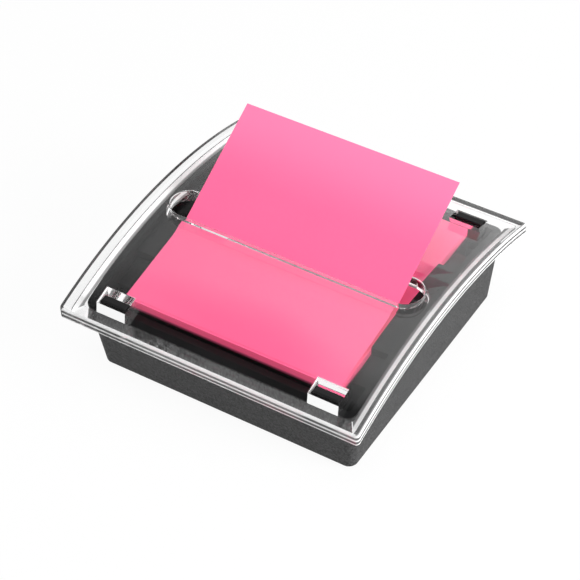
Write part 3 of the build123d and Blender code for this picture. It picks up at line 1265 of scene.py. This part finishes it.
@dataclass
class BottomScrews:
    """The four pan-head screws under the base, with cross recesses."""

    spot_x: float = 18.0 * MM
    spot_y: float = 34.45 * MM
    low: float = 1.0 * MM
    head_radius: float = 2.6 * MM
    head_height: float = 1.2 * MM
    shank_radius: float = 1.25 * MM
    shank_length: float = 6.6 * MM
    tip_share: float = 1 / 3
    cross_arm: float = 1.45 * MM
    cross_width: float = 0.5 * MM
    cross_depth: float = 0.8 * MM
    cross_taper: float = 0.7
    edge_radius: float = 0.35 * MM
    edge_steps: int = 4
    segments: int = 32
    light: float = 0.62
    streaks: Triple = (700.0, 700.0, 700.0)
    crisp_angle: float = 35.0

    def spots(self) -> list[Span]:
        """Centres of the four screws."""
        return [(x * self.spot_x, y * self.spot_y) for x in (-1, 1) for y in (-1, 1)]

    def recess(self, bm: BMesh) -> list[BMEdge]:
        """Draws the cross recess, open towards the head's face.

        Args:
            bm: The empty bmesh to draw in.

        Returns:
            The edges of the recess in the head's face.
        """
        half, arm = self.cross_width / 2, self.cross_arm
        points = ((half, half), (arm, half), (arm, -half), (half, -half))
        corner = [bm.verts.new((x, y, 0.0)) for x, y in points]
        ring = [corner]
        for turn in range(1, 4):
            spun = bmesh.ops.duplicate(bm, geom=corner)["geom"]
            quarter = Matrix.Rotation(-turn * math.pi / 2, 3, "Z")
            bmesh.ops.rotate(bm, cent=(0, 0, 0), matrix=quarter, verts=spun)
            ring.append(spun)
        outline = [v for arm_verts in ring for v in arm_verts[:3]]
        cross = [bm.edges.new((a, b)) for a, b in zip(outline, outline[1:] + outline[:1])]
        loose = [v for arm_verts in ring for v in arm_verts[3:]]
        bmesh.ops.delete(bm, geom=loose, context="VERTS")
        walls = bmesh.ops.extrude_edge_only(bm, edges=cross)["geom"]
        floor = verts_of(walls)
        bmesh.ops.translate(bm, vec=(0, 0, self.cross_depth), verts=floor)
        bmesh.ops.scale(bm, vec=(self.cross_taper, self.cross_taper, 1.0), verts=floor)
        bmesh.ops.contextual_create(bm, geom=edges_between(walls, floor))
        return cross

    def screw(self, bm: BMesh) -> None:
        """Draws one screw with its recess, head down at the origin.

        Args:
            bm: The empty bmesh to draw in.
        """
        cross = self.recess(bm)
        face_radius = self.head_radius - self.edge_radius
        rim = bmesh.ops.create_circle(bm, segments=self.segments, radius=face_radius)["verts"]
        outer = list({e for v in rim for e in v.link_edges})
        bmesh.ops.bridge_loops(bm, edges=cross + outer)
        for radius, depth in self.profile():
            grown = bmesh.ops.extrude_edge_only(bm, edges=outer)["geom"]
            verts = verts_of(grown)
            outer = edges_between(grown, verts)
            for vert in verts:
                vert.co = Vector((vert.co.x, vert.co.y, 0.0)).normalized() * radius
                vert.co.z = depth
        bmesh.ops.contextual_create(bm, geom=outer)

    def profile(self) -> list[Span]:
        """The outline of half a screw from the head's rounded edge to the tip of the shank.

        Returns:
            Radius and depth of each ring.
        """
        rings = []
        for step in range(1, self.edge_steps + 1):
            angle = step * math.pi / 2 / self.edge_steps
            radius = self.head_radius - self.edge_radius * (1 - math.sin(angle))
            rings.append((radius, self.edge_radius * (1 - math.cos(angle))))
        tip = self.head_height + self.shank_length
        rings += [(self.head_radius, self.head_height), (self.shank_radius, self.head_height)]
        rings += [(self.shank_radius, tip - self.shank_radius), (self.shank_radius * self.tip_share, tip)]
        return rings

    def build(self) -> BMesh:
        """Builds all four screws.

        Returns:
            The screws at their places, heads down.
        """
        bm = bmesh.new()
        self.screw(bm)
        bmesh.ops.recalc_face_normals(bm, faces=bm.faces)
        first = [*bm.verts, *bm.edges, *bm.faces]
        own, *others = self.spots()
        for spot in others:
            copy = bmesh.ops.duplicate(bm, geom=first)["geom"]
            bmesh.ops.translate(bm, vec=(*spot, self.low), verts=verts_of(copy))
        bmesh.ops.translate(bm, vec=(*own, self.low), verts=verts_of(first))
        return bm

    def dress(self) -> Object:
        """Makes the finished piece and puts it in the CAD screws' place.

        Returns:
            The finished piece.
        """
        steel = Steel("screw_steel", self.light, self.streaks)
        made = finished(self.build(), "cross_head_screws", [steel.material()], self.crisp_angle)
        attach(made, Body.BASE.value)
        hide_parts("bottom_screws")
        return made


@dataclass
class WeightedBase:
    """The CAD pieces of the base that keep their own shape."""

    nodes: dict[str, Object]
    ballast_light: float = 0.38

    def dress(self) -> list[Object]:
        """Gives each CAD piece its finish.

        Returns:
            The dressed objects.
        """
        finishes = {
            "base_casing": CasingPlastic(),
            "bottom_plate": MouldedPlastic(),
            "ballast_plate": Steel("ballast_steel", self.ballast_light),
        }
        rubber = FootRubber().material()
        dressed = []
        for name, made in self.nodes.items():
            if name in finishes:
                material = finishes[name].material()
            elif name.startswith("foot_"):
                material = rubber
            else:
                continue
            made.data.materials.clear()
            made.data.materials.append(material)
            dressed.append(made)
        return dressed


@dataclass(frozen=True)
class Surroundings:
    """White surroundings to look at, a dimmer dome to light with, and a dark patch overhead for reflections.

    Args:
        dusk: Strength of the dome.
        wave: Unevenness of the patch's edge.
        wave_height: How far the edge strays.
        edge: Where the patch starts, as the upward part of a direction.
        edge_light: Strength below and in the patch.
        lean: Where the edge lifts, as the sideways part of a direction.
        lean_lift: How far it lifts there.
        left: Where the surroundings get dimmer to the left, as the sideways part of a direction.
        left_light: Strength left and right of there.
    """

    name: str = "studio"
    dusk: float = 0.3
    wave: Noise = Noise(4.0)
    wave_height: float = 0.08
    edge: Span = (0.83, 0.89)
    edge_light: Span = (1.0, 0.03)
    lean: Span = (-0.41, -0.35)
    lean_lift: Span = (0.0, 0.055)
    left: Span = (-0.47, -0.34)
    left_light: Span = (0.65, 1.25)

    def mirrored(self, tree: Tree) -> NodeSocket:
        """How light the surroundings are in reflections and through the cover.

        Args:
            tree: The world's node tree.

        Returns:
            The strength in the ray's direction.
        """
        way = tree.add("ShaderNodeTexCoord").outputs["Generated"]
        wave = tree.math("SUBTRACT", tree.noise(way, self.wave), 0.5)
        axes = tree.axes(way)
        lift = tree.spread(axes[0], self.lean, self.lean_lift, True)
        up = tree.math("ADD", axes[2], tree.math("MULTIPLY", wave, self.wave_height))
        below = tree.spread(tree.math("SUBTRACT", up, lift), self.edge, self.edge_light, True)
        return tree.math("MULTIPLY", below, tree.spread(axes[0], self.left, self.left_light))

    def build(self) -> None:
        """Makes the world."""
        made = bpy.data.worlds.new(self.name)
        bpy.context.scene.world = made
        made.use_nodes = True
        tree = Tree(made.node_tree)
        rays = tree.add("ShaderNodeLightPath").outputs
        straight = rays["Is Camera Ray"]
        fresh = tree.math("LESS_THAN", rays["Diffuse Depth"], 0.5)
        bent = tree.math("MAXIMUM", rays["Is Glossy Ray"], rays["Is Transmission Ray"])
        bent = tree.math("MULTIPLY", bent, fresh)
        mirrored = tree.math("MULTIPLY", bent, self.mirrored(tree))
        looked = tree.math("MAXIMUM", straight, bent)
        plain = tree.math("MULTIPLY", tree.math("SUBTRACT", 1.0, looked), self.dusk)
        strength = tree.math("ADD", tree.math("ADD", mirrored, straight), plain)
        shader = tree.add("ShaderNodeBackground", {"Color": rgba(WHITE), "Strength": strength})
        tree.output(shader.outputs[0], "ShaderNodeOutputWorld")


@dataclass(frozen=True)
class SoftLamp:
    """A square soft lamp that looks at the dispenser."""

    name: str
    spot: Triple
    size: float
    power: float
    aim: Triple = (0.0, 0.0, 0.02)

    def build(self) -> None:
        """Makes the lamp, unseen in reflections and through the cover."""
        data = bpy.data.lights.new(self.name, "AREA")
        data.shape = "SQUARE"
        data.size = self.size
        data.energy = self.power
        made = bpy.data.objects.new(self.name, data)
        made.location = self.spot
        way = Vector(self.aim) - Vector(self.spot)
        made.rotation_euler = way.to_track_quat("-Z", "Y").to_euler()
        made.visible_glossy = False
        made.visible_transmission = False
        bpy.context.scene.collection.objects.link(made)


@dataclass(frozen=True)
class FittedCamera:
    """The camera, as fitted to the photograph's edges.

    Args:
        photo_side: Side of the photograph in pixels.
        focal: Focal length in pixels.
        middle: Where the lens's axis meets the photograph, in pixels.
        spot: The camera's place, in millimetres.
        right: Direction to the right in the photograph.
        down: Direction down in the photograph.
        ahead: Direction that the camera looks in.
    """

    photo_side: int = 580
    focal: float = 2169.96
    middle: Span = (288.83, 282.37)
    sensor: float = 36.0
    clip_start: float = 0.01
    spot: Triple = (267.7, -400.76, 487.71)
    right: Triple = (0.84753, 0.52945, -0.03694)
    down: Triple = (0.34655, -0.60477, -0.71705)
    ahead: Triple = (-0.40198, 0.59492, -0.69605)

    def build(self) -> None:
        """Makes the camera."""
        data = bpy.data.cameras.new("camera")
        data.sensor_width = self.sensor
        data.lens = self.sensor * self.focal / self.photo_side
        half = self.photo_side / 2
        data.shift_x = (half - self.middle[0]) / self.photo_side
        data.shift_y = (self.middle[1] - half) / self.photo_side
        data.clip_start = self.clip_start
        turn = Matrix((self.right, -Vector(self.down), -Vector(self.ahead))).transposed()
        made = bpy.data.objects.new("camera", data)
        made.matrix_world = Matrix.Translation(Vector(self.spot) * MM) @ turn.to_4x4()
        bpy.context.scene.collection.objects.link(made)
        bpy.context.scene.camera = made


@dataclass
class Studio:
    """White floor and surroundings, two soft lamps and the camera."""

    floor_size: float = 3.0
    lamps: tuple[SoftLamp, ...] = (
        SoftLamp("key", spot=(0.95, 0.1, 0.4), size=0.5, power=12.5),
        SoftLamp("top", spot=(0.1, -0.1, 1.05), size=0.6, power=6.0),
    )
    bounces: int = 40
    clear_bounces: int = 32

    def floor(self) -> None:
        """A pale floor that shows as white and keeps a faint shadow."""
        bm = bmesh.new()
        bmesh.ops.create_grid(bm, x_segments=1, y_segments=1, size=self.floor_size)
        made = finished(bm, "floor", [WhiteFloor().material()])

    def build(self) -> None:
        """Sets up the whole studio."""
        bpy.context.scene.view_settings.view_transform = "Standard"
        cycles = bpy.context.scene.cycles
        cycles.max_bounces = self.bounces
        cycles.glossy_bounces = self.clear_bounces
        cycles.transmission_bounces = self.clear_bounces
        self.floor()
        Surroundings().build()
        for lamp in self.lamps:
            lamp.build()
        FittedCamera().build()


def main() -> None:
    """Builds and dresses every piece."""
    logging.basicConfig(level=logging.INFO, format="%(message)s")
    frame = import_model()
    cover = ClearCover(Arch())
    pad = NotePad(cover)
    pieces = WeightedBase(frame["nodes"]).dress()
    pieces += [piece.dress() for piece in (BottomScrews(), pad, PoppedNote(cover, pad), cover)]
    for piece in pieces:
        log.info("%s: %d faces", piece.name, len(piece.data.polygons))
    Studio().build()


if __name__ == "__main__":
    main()
